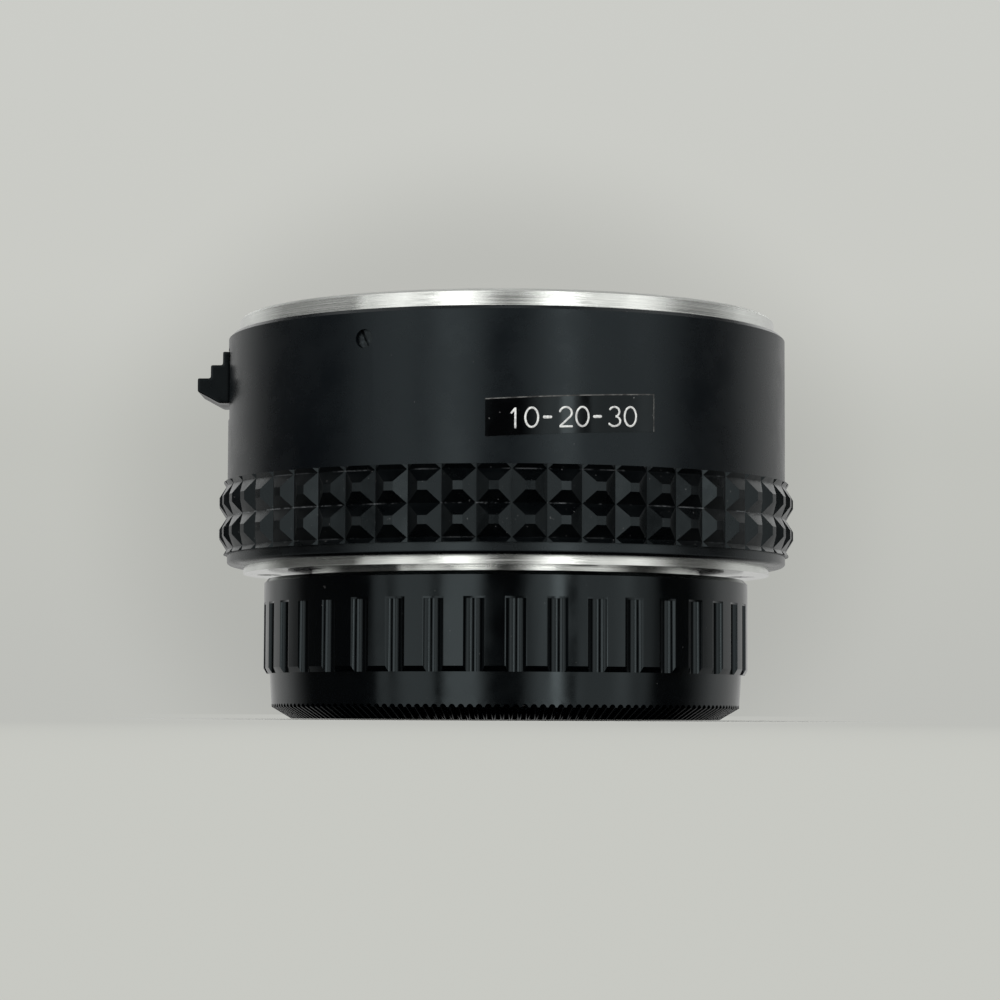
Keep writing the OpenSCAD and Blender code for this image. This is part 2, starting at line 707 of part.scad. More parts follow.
// The tube that holds the glass, seated in the web by its flange.
module lens_cell() {
    front_bore = front_glass_r + fit_gap;
    rear_bore = rear_glass_r + fit_gap;
    groove = circlip_t + 2 * run_gap;
    color("#191a1c") difference() {
        rotate_extrude() polygon([
            [rear_bore, cell_rear_z], [cell_r, cell_rear_z],
            [cell_r, circlip_z - run_gap], [cell_r - circlip_t, circlip_z - run_gap],
            [cell_r - circlip_t, circlip_z - run_gap + groove], [cell_r, circlip_z - run_gap + groove],
            [cell_r, web_top_z], [cell_flange_r, web_top_z], [cell_flange_r, web_top_z + cell_flange_t],
            [cell_r, web_top_z + cell_flange_t], [cell_r, cell_front_z], [front_bore, cell_front_z],
            [front_bore, lip_top_z], [cell_lip_r, lip_top_z],
            [cell_lip_r, cell_lip_z], [rear_bore, cell_lip_z]
        ]);
        baffle_screw_places() cylinder(r = small_screw_r + fit_gap, h = 4 * baffle_t);
    }
}

// A threaded ring that holds glass in the cell, with a coned inner edge and two spanner slots.
module retainer(r, bore, low, high, cone_up) {
    cone = (r - bore) / 2;
    slot_w = small_screw_r * 2;
    color("#141517") difference() {
        rotate_extrude() polygon(cone_up
            ? [[bore, low], [r, low], [r, high], [bore + cone, high]]
            : [[bore + cone, low], [r, low], [r, high], [bore, high]]);
        for (side = [0, half_turn]) rotate([0, 0, side])
            translate([r - cone, -slot_w / 2, cone_up ? high - (high - low) / 2 : low - eps])
                cube([cone + eps, slot_w, (high - low) / 2 + eps]);
    }
}

// The ring in front of the front element.
module front_retaining_ring() {
    retainer(front_glass_r, cell_lip_r, cell_front_z - retainer_l, cell_front_z, true);
}

// The ring behind the rear element.
module rear_retaining_ring() {
    retainer(rear_glass_r, cell_lip_r, cell_rear_z, rear_glass_low_z, false);
}

// The front element, a meniscus.
module front_element() {
    color("#7f97a8")
        lens(front_glass_r, lip_top_z, lip_top_z + front_glass_t, front_glass_t / 2, -front_glass_t / 4);
}

// The second element, hollow on both sides.
module second_element() {
    color("#8aa1b0") lens(rear_glass_r, second_low_z, cell_lip_z, -second_glass_t / 4, -second_glass_t / 3);
}

// The third element, cemented into the hollow of the second.
module third_element() {
    color("#93a8b5")
        lens(rear_glass_r, third_low_z, second_low_z - fit_gap, second_glass_t / 3, third_glass_t / 4);
}

// The fourth element, bulging on both sides.
module fourth_element() {
    color("#93a8b5") lens(rear_glass_r, fourth_low_z, spacer_low_z, fourth_glass_t / 4, fourth_glass_t / 5);
}

// The rear element, hollow towards the front.
module rear_element() {
    color("#8aa1b0")
        lens(rear_glass_r, rear_glass_low_z, rear_spacer_low_z, -rear_glass_t / 3, rear_glass_t / 6);
}

// The spacer between the cemented pair and the fourth element.
module element_spacer() {
    color("#141517") ring(rear_glass_r, cell_lip_r, spacer_low_z, third_low_z);
}

// The spacer between the fourth element and the rear element.
module rear_spacer() {
    color("#141517") ring(rear_glass_r, cell_lip_r, rear_spacer_low_z, fourth_low_z);
}

// The places of the two baffle screws, heads down.
module baffle_screw_places() {
    place_r = (cell_r + rear_glass_r) / 2;
    for (side = [90, 270]) at(place_r, side, cell_rear_z) children();
}

// The plate behind the rear element, with its window and the notches for the arms.
module rear_baffle() {
    corner = retainer_l;
    color("#161719") difference() {
        ring(baffle_r, 0, baffle_low_z, cell_rear_z);
        hull() for (x = [-1, 1], y = [-1, 1])
            translate([x * (window_w / 2 - corner), y * (window_h / 2 - corner), baffle_low_z - eps])
                cylinder(r = corner, h = baffle_t + 2 * eps, $fn = 32);
        for (arm = [[coupler_a, coupler_turn], [lever_a, lever_turn]])
            arc_block(baffle_r + free_gap, arm_r - free_gap, baffle_low_z - eps, cell_rear_z + eps,
                arm[0] + arm[1] / 2, arm[1] + arm_a + 2 * slot_extra_a);
        baffle_screw_places() translate([0, 0, -baffle_t - eps])
            cylinder(r = small_screw_r + fit_gap, h = baffle_t + 2 * eps);
    }
}

// The screws of the rear baffle.
module baffle_screws() {
    color("#b0b2b4") baffle_screw_places() union() {
        translate([0, 0, -baffle_t - small_screw_r]) cylinder(r = small_head_r, h = small_screw_r);
        translate([0, 0, -baffle_t]) cylinder(r = small_screw_r, h = 4 * baffle_t);
    }
}

// A ring that turns on the lens cell, with one arm that reaches out of both ends.
module armed_ring(low, arm_low, arm_high, angle) {
    union() {
        ring(ring_r, cell_r + run_gap, low, low + ring_t);
        arc_block(arm_r + arm_t / 2, (ring_r + cell_r) / 2, low + fit_gap, low + ring_t - fit_gap,
            angle, arm_a - slot_extra_a);
        arc_block(arm_r + arm_t, arm_r, arm_low, arm_high, angle, arm_a);
    }
}

// The ring that carries the aperture ring's setting from the lens to the camera.
module aperture_coupler_ring() {
    color("#a9adb2") armed_ring(coupler_z, coupler_low_z, coupler_top_z, coupler_a);
}

// The ring that carries the camera's stop-down stroke to the lens.
module aperture_lever_ring() {
    color("#b7a36a") armed_ring(lever_z, lever_low_z, lever_top_z, lever_a);
}

// The open spring clip that keeps both rings on the cell.
module ring_circlip() {
    gap_a = 30;
    color("#8d9095")
        arc_block(ring_r - free_gap, cell_r - circlip_t + run_gap, circlip_z, circlip_z + circlip_t,
            pin_a, full_turn - gap_a);
}

// The torsion spring that returns the lever ring.
module lever_return_spring() {
    high = circlip_z - free_gap;
    low = high - (lever_turns + 1) * lever_wire * 2;
    color("#9a9da1") rotate([0, 0, lever_a]) coil(spring_r, lever_wire, low, high, lever_turns, 24);
}

// The pin that drops into the lens's flange and locks it.
module lock_pin() {
    tip = pin_r / 3;
    top = front_face_z + pin_proud;
    color("#cfd1d3") at(pin_place_r, pin_a, 0) rotate_extrude()
        polygon([[0, foot_z], [pin_r / 2, foot_z], [pin_r / 2, foot_top_z], [pin_r, foot_top_z],
            [pin_r, top - tip], [pin_r - tip, top], [0, top]]);
}

// The spring that holds the lock pin out.
module lock_pin_spring() {
    color("#9a9da1") at(pin_place_r, pin_a, 0) coil(pin_spring_r, pin_wire, web_top_z, foot_z, pin_turns, 12);
}

// The stepped slider that the finger pushes down.
module release_slider() {
    color("#1a1b1d") difference() {
        union() {
            rotate([90, 0, 0]) translate([0, 0, -slider_w / 2]) linear_extrude(slider_w) polygon([
                [-slider_x, slider_top_z], [-barrel_r - slider_tongue, slider_top_z],
                [-barrel_r - slider_tongue, slider_step1_z], [-barrel_r - slider_step1, slider_step1_z],
                [-barrel_r - slider_step1, slider_step2_z], [-barrel_r - slider_step2, slider_step2_z],
                [-barrel_r - slider_step2, slider_tip_z], [-barrel_r - slider_heel, slider_low_z],
                [-slider_x, slider_low_z]
            ]);
            translate([-slider_x - eps, -neck_w / 2, neck_z])
                cube([slider_x + eps - plate_x, neck_w, neck_h]);
        }
        slide_screw_places() cylinder(r = small_screw_r + fit_gap, h = 2 * plate_t + fit_gap);
    }
}

// The bent plate inside the barrel that joins the slider to the lock pin.
module slide_plate() {
    low = neck_z;
    foot_in = pin_place_r - 2 * pin_r;
    color("#a9adb2") difference() {
        union() {
            translate([-plate_x, -plate_w / 2, low]) cube([plate_t, plate_w, foot_top_z - low]);
            translate([-plate_x, -plate_w / 2, foot_z]) cube([plate_x - foot_in, plate_w, foot_t]);
        }
        at(pin_place_r, pin_a, foot_z - eps) cylinder(r = pin_r / 2 + fit_gap, h = foot_t + 2 * eps);
        slide_screw_places() cylinder(r = small_screw_r + fit_gap, h = 2 * plate_t);
    }
}

// The places of the two slide screws, pointing outwards from the plate.
module slide_screw_places() {
    for (side = [-1, 1])
        translate([-plate_x + plate_t + eps, side * neck_w / 3, neck_z + neck_h / 2])
            rotate([0, -90, 0]) children();
}

// The screws that hold the slide plate to the slider's neck.
module slide_screws() {
    color("#b0b2b4") slide_screw_places() union() {
        translate([0, 0, -small_screw_r]) cylinder(r = small_head_r, h = small_screw_r);
        cylinder(r = small_screw_r, h = 2 * plate_t);
    }
}

// The grooves along the chamfer at the cap's foot, each a round cut that lies on the cone.
module serrations() {
    lean = atan(knurl_run / knurl_h);
    length = 2 * sqrt(knurl_run * knurl_run + knurl_h * knurl_h);
    for (i = [0 : serration_count - 1]) rotate([0, 0, i * full_turn / serration_count - half_turn / 2])
        translate([skirt_low_r - knurl_run / 2, 0, knurl_h / 2]) rotate([0, lean, 0])
            translate([serration_lift, 0, 0]) cylinder(r = serration_r, h = length, center = true, $fn = 16);
}

// Round upright cuts of one width and depth, from the skirt up to one height.
module flute_cuts(width, depth, top) {
    cut_r = (width * width / 4 + depth * depth) / (2 * depth);
    for (i = [0 : flute_count - 1]) rotate([0, 0, i * full_turn / flute_count + flute_turn - half_turn / 2])
        translate([cap_r - depth + cut_r, 0, land_low_z - eps])
            cylinder(r = cut_r, h = top - land_low_z + eps);
}

// The rear cap: a fluted cup with three lugs that hook behind the male lugs.
module rear_cap() {
    color("#121315") difference() {
        rotate_extrude() polygon([
            [0, 0], [cap_foot_r, 0], [skirt_low_r, knurl_h], [skirt_r, land_low_z],
            [cap_r - land_edge_d, land_low_z], [cap_r, land_low_z + land_edge_h],
            [cap_r, cap_top_z - cap_round], [cap_r - cap_round, cap_top_z], [0, cap_top_z]
        ]);
        translate([0, 0, cap_floor]) cylinder(r = cap_bore_r - fit_gap, h = cap_top_z);
        ring(foot_groove_r, foot_groove_r - foot_groove_w, -eps, foot_groove_d);
        flute_cuts(flute_w, flute_d, flute_top_z);
        flute_cuts(flute_w + 2 * flute_lip_w, flute_lip_d, flute_top_z + flute_lip_w);
        serrations();
    }
    color("#121315") cap_lugs();
}

// The lugs inside the cap.
module cap_lugs() {
    for (centre = lug_centres)
        arc_block(cap_bore_r, male_r + free_gap / 2, cap_lug_z, cap_lug_z + cap_lug_t, centre, cap_lug_a);
}

main_barrel();
front_mount_base();
front_mount_ring();
front_mount_screws();
bayonet_leaf_spring();
barrel_set_screws();
front_index_dot();
grip_ring();
rear_housing();
rear_mount_ring();
rear_mount_screws();
rear_index_dot();
lens_cell();
front_retaining_ring();
front_element();
second_element();
third_element();
element_spacer();
fourth_element();
rear_spacer();
rear_element();
rear_retaining_ring();
rear_baffle();
baffle_screws();
aperture_coupler_ring();
aperture_lever_ring();
ring_circlip();
lever_return_spring();
lock_pin();
lock_pin_spring();
release_slider();
slide_plate();
slide_screws();
rear_cap();
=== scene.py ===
"""Camera teleconverter on its rear cap: finishes, the tape label, soft studio light and the camera."""
import json
import math

import bpy
import numpy as np
from mathutils import Matrix, Vector


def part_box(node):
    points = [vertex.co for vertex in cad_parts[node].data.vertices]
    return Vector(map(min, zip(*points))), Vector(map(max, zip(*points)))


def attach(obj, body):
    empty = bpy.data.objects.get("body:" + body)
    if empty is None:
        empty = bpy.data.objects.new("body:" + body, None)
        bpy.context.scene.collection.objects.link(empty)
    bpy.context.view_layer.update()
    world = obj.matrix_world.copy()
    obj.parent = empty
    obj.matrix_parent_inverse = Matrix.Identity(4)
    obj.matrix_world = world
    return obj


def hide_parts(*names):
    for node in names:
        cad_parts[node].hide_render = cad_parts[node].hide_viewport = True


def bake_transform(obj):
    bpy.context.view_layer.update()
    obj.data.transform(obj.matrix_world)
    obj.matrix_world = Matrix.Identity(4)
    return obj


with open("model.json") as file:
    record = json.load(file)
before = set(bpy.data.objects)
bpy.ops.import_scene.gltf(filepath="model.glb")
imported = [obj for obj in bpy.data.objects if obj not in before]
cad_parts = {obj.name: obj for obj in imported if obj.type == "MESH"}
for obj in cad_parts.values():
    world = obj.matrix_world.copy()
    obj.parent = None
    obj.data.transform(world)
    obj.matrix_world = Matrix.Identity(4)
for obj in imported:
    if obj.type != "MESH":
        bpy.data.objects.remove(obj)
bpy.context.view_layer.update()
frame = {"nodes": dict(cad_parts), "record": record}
nodes = frame["nodes"]
scene = bpy.context.scene

MM = 0.001

# Sizes that the frame gives, in metres
BARREL_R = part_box("main_barrel")[1][0]
GRIP_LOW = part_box("grip_ring")[0][2]
GRIP_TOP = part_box("grip_ring")[1][2]
RING_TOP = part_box("front_mount_ring")[1][2]

# Faces that meet at more than this angle keep a sharp edge
SHARP_ANGLE = math.radians(40)


def rgba(colour):
    """A colour with its alpha; a socket stays as it is."""
    return (*colour, 1.0) if isinstance(colour, tuple) else colour


class Nodes:
    """A short way to write a node tree: each call makes one node and links its inputs."""

    def __init__(self, tree):
        self.tree = tree
        tree.nodes.clear()

    def add(self, kind, inputs=None, **settings):
        node = self.tree.nodes.new(kind)
        for name, value in settings.items():
            setattr(node, name, value)
        for name, value in (inputs or {}).items():
            socket = node.inputs[name]
            if isinstance(value, bpy.types.NodeSocket):
                self.tree.links.new(value, socket)
            else:
                socket.default_value = value
        return node

    def math(self, operation, first, second=0.0, clamp=False):
        inputs = {0: first, 1: second}
        return self.add("ShaderNodeMath", inputs, operation=operation, use_clamp=clamp).outputs[0]

    def smooth(self, value, low, high, start=0.0, end=1.0):
        """A smooth step from start to end as the value goes from low to high."""
        inputs = {"Value": value, "From Min": low, "From Max": high, "To Min": start, "To Max": end}
        return self.add("ShaderNodeMapRange", inputs, interpolation_type="SMOOTHSTEP").outputs[0]

    def mix(self, factor, first, second):
        inputs = {"Factor": factor, 6: rgba(first), 7: rgba(second)}
        return self.add("ShaderNodeMix", inputs, data_type="RGBA").outputs[2]

    def steps(self, value, stops):
        """A soft ramp of tones: each stop is a value and the colour reached there."""
        colour = stops[0][1]
        for (low, _), (high, tone) in zip(stops, stops[1:]):
            colour = self.mix(self.smooth(value, low, high), colour, tone)
        return colour


# ---- Helpers for materials. Patterns read Object coordinates, and a noise's scale is per metre. ----

def new_material(name):
    """A material with its node writer, its Principled shader and its Object coordinates."""
    material = bpy.data.materials.new(name)
    material.use_nodes = True
    write = Nodes(material.node_tree)
    shader = write.add("ShaderNodeBsdfPrincipled")
    output = write.add("ShaderNodeOutputMaterial")
    write.tree.links.new(shader.outputs[0], output.inputs[0])
    place = write.add("ShaderNodeTexCoord").outputs["Object"]
    return material, write, shader, place


def noise(write, place, scale, detail=3.0, rough=0.5):
    inputs = {"Vector": place, "Scale": scale, "Detail": detail, "Roughness": rough}
    return write.add("ShaderNodeTexNoise", inputs).outputs["Fac"]


def streaks(write, place, scales, detail):
    """A noise with a scale of its own along each axis, so that it turns into streaks or rings of lines."""
    inputs = {0: place, 1: scales}
    stretched = write.add("ShaderNodeVectorMath", inputs, operation="MULTIPLY").outputs[0]
    return noise(write, stretched, 1.0, detail)


def specks(write, place, scale, low, high):
    """One in small scattered dots and zero between them: only the peaks of a fine noise count."""
    return write.smooth(noise(write, place, scale, 2.0), low, high)


def along_axis(write, place, axis):
    return write.add("ShaderNodeSeparateXYZ", {0: place}).outputs[axis]


def radius_of(write, place):
    """The distance from the optical axis."""
    inputs = {0: place, 1: (1.0, 1.0, 0.0)}
    flat = write.add("ShaderNodeVectorMath", inputs, operation="MULTIPLY").outputs[0]
    return write.add("ShaderNodeVectorMath", {0: flat}, operation="LENGTH").outputs["Value"]


def band(write, value, centre, half, soft):
    """One inside a band round a value, falling softly to nothing outside it."""
    away = write.math("ABSOLUTE", write.math("SUBTRACT", value, centre))
    return write.smooth(away, half, half + soft, 1.0, 0.0)


def bump(write, shader, height, distance):
    inputs = {"Height": height, "Distance": distance}
    write.tree.links.new(write.add("ShaderNodeBump", inputs).outputs[0], shader.inputs["Normal"])


def set_base(shader, colour, metallic, roughness, **others):
    """Sets values that are the same all over; an underscore in a name stands for a space."""
    shader.inputs["Base Color"].default_value = rgba(colour)
    shader.inputs["Metallic"].default_value = metallic
    shader.inputs["Roughness"].default_value = roughness
    for name, value in others.items():
        shader.inputs[name.replace("_", " ")].default_value = rgba(value)


def paint(write, shader, colour):
    write.tree.links.new(colour, shader.inputs["Base Color"])


def tint_by_noise(write, shader, place, scale, first, second):
    """The base colour drifts softly between two colours."""
    factor = write.smooth(noise(write, place, scale), 0.35, 0.65)
    paint(write, shader, write.mix(factor, first, second))


def vary_roughness(write, shader, factor, low, high):
    value = write.smooth(factor, 0.3, 0.7, low, high)
    write.tree.links.new(value, shader.inputs["Roughness"])


# ---- Finishes ----

# Black finishes throw back a little less of the red
COOL = (0.80, 0.95, 1.0)

# The front ring is duller from its chamfer up: the heights where that starts and is full, and how much
# roughness it adds
DULL_START = RING_TOP - 0.3 * MM
DULL_FULL = RING_TOP - 0.2 * MM
DULL_MORE = 0.4

# Dust on the grip lies in the valleys under, between and over its two rows of pads, in these shares, and
# thins out between two radii
GRIP_RIM = 0.5 * MM
GRIP_ROW = (GRIP_TOP - GRIP_LOW - 2 * GRIP_RIM) / 2
DUST_SHARES = (0.3, 1.0, 0.45)
DUST_HALF = 0.03 * MM
DUST_SOFT = 0.07 * MM
DUST_DEEP = BARREL_R + 0.14 * MM
DUST_HIGH = BARREL_R + 0.26 * MM
DUST_TONE = (0.09, 0.095, 0.1)


def anodised_material():
    """Black anodised aluminium: fine turning lines round the axis, handling marks and a few pale specks."""
    material, write, shader, place = new_material("black_anodised")
    set_base(shader, (0.0015, 0.0018, 0.0024), 0.0, 0.27, Specular_IOR_Level=0.36, Specular_Tint=COOL)
    drift = write.smooth(noise(write, place, 90.0), 0.35, 0.65)
    black = write.mix(drift, (0.0005, 0.0011, 0.0022), (0.0012, 0.0020, 0.0032))
    paint(write, shader, write.mix(specks(write, place, 1500.0, 0.765, 0.8), black, (0.05, 0.05, 0.05)))
    vary_roughness(write, shader, noise(write, place, 160.0, 6.0, 0.65), 0.23, 0.32)
    bump(write, shader, streaks(write, place, (30.0, 30.0, 9000.0), 2.0), 0.0012 * MM)
    return material


def painted_material(name, colour, roughness):
    """Black paint with a fine orange peel."""
    material, write, shader, place = new_material(name)
    set_base(shader, colour, 0.0, roughness, Specular_Tint=COOL)
    lighter = tuple(1.6 * c for c in colour)
    tint_by_noise(write, shader, place, 200.0, colour, lighter)
    vary_roughness(write, shader, noise(write, place, 300.0, 4.0), 0.85 * roughness, 1.1 * roughness)
    bump(write, shader, noise(write, place, 5000.0), 0.003 * MM)
    return material


def chrome_material(name, line_depth):
    """Turned and chromed metal: rings of fine lines that spread the light up and down, faint wear marks, and
    a duller chamfer and top face on the front ring."""
    material, write, shader, place = new_material(name)
    set_base(shader, (0.83, 0.85, 0.82), 0.87, 0.08)
    tint_by_noise(write, shader, place, 220.0, (0.79, 0.81, 0.78), (0.88, 0.90, 0.87))
    worn = write.smooth(streaks(write, place, (600.0, 600.0, 120.0), 4.0), 0.3, 0.7, 0.05, 0.1)
    duller = write.smooth(along_axis(write, place, 2), DULL_START, DULL_FULL, 0.0, DULL_MORE)
    write.tree.links.new(write.math("ADD", worn, duller), shader.inputs["Roughness"])
    bump(write, shader, streaks(write, place, (40.0, 40.0, 36000.0), 1.0), line_depth)
    return material


def screw_material():
    """A blackened screw whose black has worn through in patches."""
    material, write, shader, place = new_material("black_screw")
    set_base(shader, (0.002, 0.0022, 0.0025), 0.0, 0.35, Specular_Tint=COOL)
    worn = write.smooth(noise(write, place, 1900.0, 3.0, 0.6), 0.5, 0.62)
    paint(write, shader, write.mix(worn, (0.0008, 0.001, 0.0014), (0.02, 0.024, 0.027)))
    vary_roughness(write, shader, noise(write, place, 800.0, 4.0), 0.28, 0.45)
    bump(write, shader, noise(write, place, 2600.0), 0.01 * MM)
    return material


def steel_material(name, colour, roughness):
    """Brushed metal with short scratches."""
    material, write, shader, place = new_material(name)
    set_base(shader, colour, 1.0, roughness)
    darker = tuple(0.8 * c for c in colour)
    tint_by_noise(write, shader, place, 900.0, colour, darker)
    bump(write, shader, streaks(write, place, (9000.0, 900.0, 900.0), 3.0), 0.003 * MM)
    return material


def rubber_material():
    """Moulded rubber: a low sheen, a soft mottling, and pale dust lying in the valleys between the rows."""
    material, write, shader, place = new_material("grip_rubber")
    set_base(shader, (0.001, 0.0013, 0.0016), 0.0, 0.3, Specular_IOR_Level=0.4, Specular_Tint=COOL)
    height = along_axis(write, place, 2)
    valleys = 0.0
    for step, share in enumerate(DUST_SHARES):
        valley = band(write, height, GRIP_LOW + GRIP_RIM + step * GRIP_ROW, DUST_HALF, DUST_SOFT)
        valleys = write.math("ADD", valleys, write.math("MULTIPLY", valley, share))
    deep = write.smooth(radius_of(write, place), DUST_DEEP, DUST_HIGH, 1.0, 0.0)
    patchy = write.smooth(noise(write, place, 260.0, 4.0, 0.7), 0.5, 0.62)
    dust = write.math("MULTIPLY", write.math("MULTIPLY", valleys, deep), patchy, clamp=True)
    mottle = write.smooth(noise(write, place, 700.0, 6.0, 0.7), 0.5, 0.8)
    black = write.mix(mottle, (0.0006, 0.0009, 0.0012), (0.0022, 0.0028, 0.0032))
    specked = write.mix(specks(write, place, 2600.0, 0.72, 0.78), black, (0.08, 0.08, 0.08))
    paint(write, shader, write.mix(dust, specked, DUST_TONE))
    vary_roughness(write, shader, noise(write, place, 300.0, 4.0), 0.24, 0.36)
    bump(write, shader, noise(write, place, 900.0, 4.0), 0.02 * MM)
    return material


def gloss_material(name, low_rough, high_rough, shine):
    """Gloss black plastic with hairline scratches and a few specks of dust."""
    material, write, shader, place = new_material(name)
    black = (0.0004, 0.0006, 0.0009)
    set_base(shader, black, 0.0, low_rough, Specular_IOR_Level=shine, Specular_Tint=COOL)
    paint(write, shader, write.mix(specks(write, place, 1600.0, 0.75, 0.8), black, (0.05, 0.05, 0.05)))
    vary_roughness(write, shader, noise(write, place, 260.0, 5.0, 0.6), low_rough, high_rough)
    bump(write, shader, streaks(write, place, (500.0, 500.0, 6000.0), 3.0), 0.002 * MM)
    return material


def glass_material(name, coat):
    """Coated optical glass: clear, with a tinted reflection."""
    material, write, shader, place = new_material(name)
    set_base(shader, (0.9, 0.92, 0.95), 0.0, 0.02, IOR=1.6, Transmission_Weight=0.85,
             Coat_Weight=0.6, Coat_Roughness=0.02, Coat_Tint=coat)
    vary_roughness(write, shader, noise(write, place, 400.0), 0.01, 0.04)
    return material


def enamel_material():
    """Red enamel in the index dots."""
    material, write, shader, place = new_material("red_paint")
    red = (0.55, 0.03, 0.02)
    set_base(shader, red, 0.0, 0.3)
    tint_by_noise(write, shader, place, 1500.0, red, (0.45, 0.02, 0.015))
    bump(write, shader, noise(write, place, 2500.0), 0.006 * MM)
    return material


def tape_material():
    """The tape's smooth gloss black face, with specks of dust."""
    material, write, shader, place = new_material("tape_black")
    black = (0.0006, 0.0006, 0.0008)
    set_base(shader, black, 0.0, 0.1, Specular_IOR_Level=0.34, Specular_Tint=COOL)
    paint(write, shader, write.mix(specks(write, place, 1900.0, 0.74, 0.78), black, (0.12, 0.12, 0.12)))
    vary_roughness(write, shader, noise(write, place, 500.0, 4.0), 0.06, 0.13)
    bump(write, shader, noise(write, place, 1200.0, 2.0), 0.003 * MM)
    return material


def tape_edge_highlight_material():
    """A painted edge highlight: the pale grey layer that shows at the top and right of the tape, uneven in
    patches.
    """
    material, write, shader, place = new_material("tape_edge_highlight")
    set_base(shader, (0.08, 0.08, 0.078), 0.0, 0.5)
    tint_by_noise(write, shader, place, 1400.0, (0.02, 0.02, 0.019), (0.12, 0.12, 0.115))
    bump(write, shader, noise(write, place, 4000.0), 0.004 * MM)
    return material


def digit_material():
    """The whitened plastic of the raised strokes."""
    material, write, shader, place = new_material("digit_white")
    set_base(shader, (0.7, 0.71, 0.69), 0.0, 0.5)
    tint_by_noise(write, shader, place, 2500.0, (0.78, 0.79, 0.77), (0.5, 0.5, 0.5))
    bump(write, shader, noise(write, place, 6000.0), 0.004 * MM)
    return material


def dress_frame():
    """Gives each CAD node the material of its slot."""
    finishes = {
        "black_anodised": anodised_material(),
        "black_painted_metal": painted_material("black_painted_metal", (0.006, 0.006, 0.007), 0.5),
        "chrome_plate": chrome_material("chrome_plate", 0.007 * MM),
        "chrome_plate_rear": chrome_material("chrome_plate_rear", 0.006 * MM),
        "screw_steel": steel_material("screw_steel", (0.62, 0.62, 0.63), 0.25),
        "spring_steel": steel_material("spring_steel", (0.45, 0.46, 0.47), 0.3),
        "black_screw": screw_material(),
        "red_paint": enamel_material(),
        "grip_rubber": rubber_material(),
        "black_housing": painted_material("black_housing", (0.0018, 0.002, 0.0024), 0.26),
        "coated_glass": glass_material("coated_glass", (0.55, 0.35, 0.8)),
        "inner_glass": glass_material("inner_glass", (0.8, 0.85, 0.6)),
        "bright_steel": steel_material("bright_steel", (0.6, 0.61, 0.62), 0.25),
        "lever_brass": steel_material("lever_brass", (0.6, 0.47, 0.24), 0.28),
        "slider_plastic": gloss_material("slider_plastic", 0.24, 0.34, 0.22),
        "cap_plastic": gloss_material("cap_plastic", 0.09, 0.17, 0.46),
    }
    for part in frame["record"]["subparts"]:
        node = nodes[part["node"]]
        node.data.materials.clear()
        node.data.materials.append(finishes[part["material_slot"]])
        node.data.polygons.foreach_set("use_smooth", [True] * len(node.data.polygons))
    return finishes


# ---- The release slider and the lock pin's spring ----

SLIDER_WELD = 0.0005 * MM
SLIDER_VOXEL = 0.07 * MM
SLIDER_PASSES = 36

SPRING_WIRE = 0.3 * MM
SPRING_TURNS = 5
SPRING_STEPS = 24
SPRING_SIDES = 10


def soften_slider():
    """Rounds the slider's corners: its loose triangles are joined, made a fine even mesh, and smoothed."""
    slider = nodes["release_slider"]
    weld = slider.modifiers.new("join", "WELD")
    weld.merge_threshold = SLIDER_WELD
    even = slider.modifiers.new("even", "REMESH")
    even.mode = "VOXEL"
    even.voxel_size = SLIDER_VOXEL
    even.use_smooth_shade = True
    smooth = slider.modifiers.new("round", "SMOOTH")
    smooth.factor = 0.5
    smooth.iterations = SLIDER_PASSES


def mesh_object(name, points, faces, material):
    """A smooth-shaded mesh object, in place, from an array of points and a list of faces."""
    mesh = bpy.data.meshes.new(name)
    mesh.from_pydata(points.reshape(-1, 3).tolist(), [], faces)
    mesh.materials.append(material)
    mesh.polygons.foreach_set("use_smooth", [True] * len(mesh.polygons))
    mesh.update()
    mesh.set_sharp_from_angle(angle=SHARP_ANGLE)
    piece = bpy.data.objects.new(name, mesh)
    scene.collection.objects.link(piece)
    return piece


def pin_spring(material):
    """The lock pin's spring at the length of its part's box; the real one shortens as the slide goes down.

    The middle of the wire goes round the pin at one radius and climbs evenly, and a circle is carried along
    it."""
    low, high = (np.array(corner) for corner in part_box("lock_pin_spring"))
    middle = (low + high) / 2
    radius = (high[1] - low[1] - SPRING_WIRE) / 2
    turn = np.linspace(0.0, 2 * np.pi * SPRING_TURNS, SPRING_STEPS * SPRING_TURNS + 1)[:, None]
    round_wire = np.linspace(0.0, 2 * np.pi, SPRING_SIDES, endpoint=False)[None, :]
    reach = radius + SPRING_WIRE / 2 * np.cos(round_wire)
    climb = (high[2] - low[2] - SPRING_WIRE) * turn / turn[-1]
    up = low[2] + SPRING_WIRE / 2 + climb + SPRING_WIRE / 2 * np.sin(round_wire)
    points = np.stack([middle[0] + reach * np.cos(turn), middle[1] + reach * np.sin(turn), up], axis=-1)
    index = np.arange(up.size).reshape(up.shape)
    after = np.roll(index, -1, axis=1)
    quads = np.stack([index[:-1], index[1:], after[1:], after[:-1]], axis=-1).reshape(-1, 4)
    ends = [index[0].tolist(), index[-1, ::-1].tolist()]
    spring = mesh_object("pin_spring", points, quads.tolist() + ends, material)
    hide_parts("lock_pin_spring")
    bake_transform(spring)


# ---- The tape label on the barrel: angles from the front, heights above the cap's foot ----

TAPE_LEFT = math.radians(-4.3)
TAPE_RIGHT = math.radians(29.1)
TAPE_LONG = (TAPE_RIGHT - TAPE_LEFT) * BARREL_R
TAPE_LOW_LEFT = 29.1 * MM
TAPE_RISE = 0.9 * MM
TAPE_WIDE = 3.95 * MM
TAPE_THICK = 0.07 * MM
TAPE_EDGE = 0.12 * MM
TAPE_GAP = 0.01 * MM
TAPE_COLUMNS = 49
TAPE_ROWS = 9

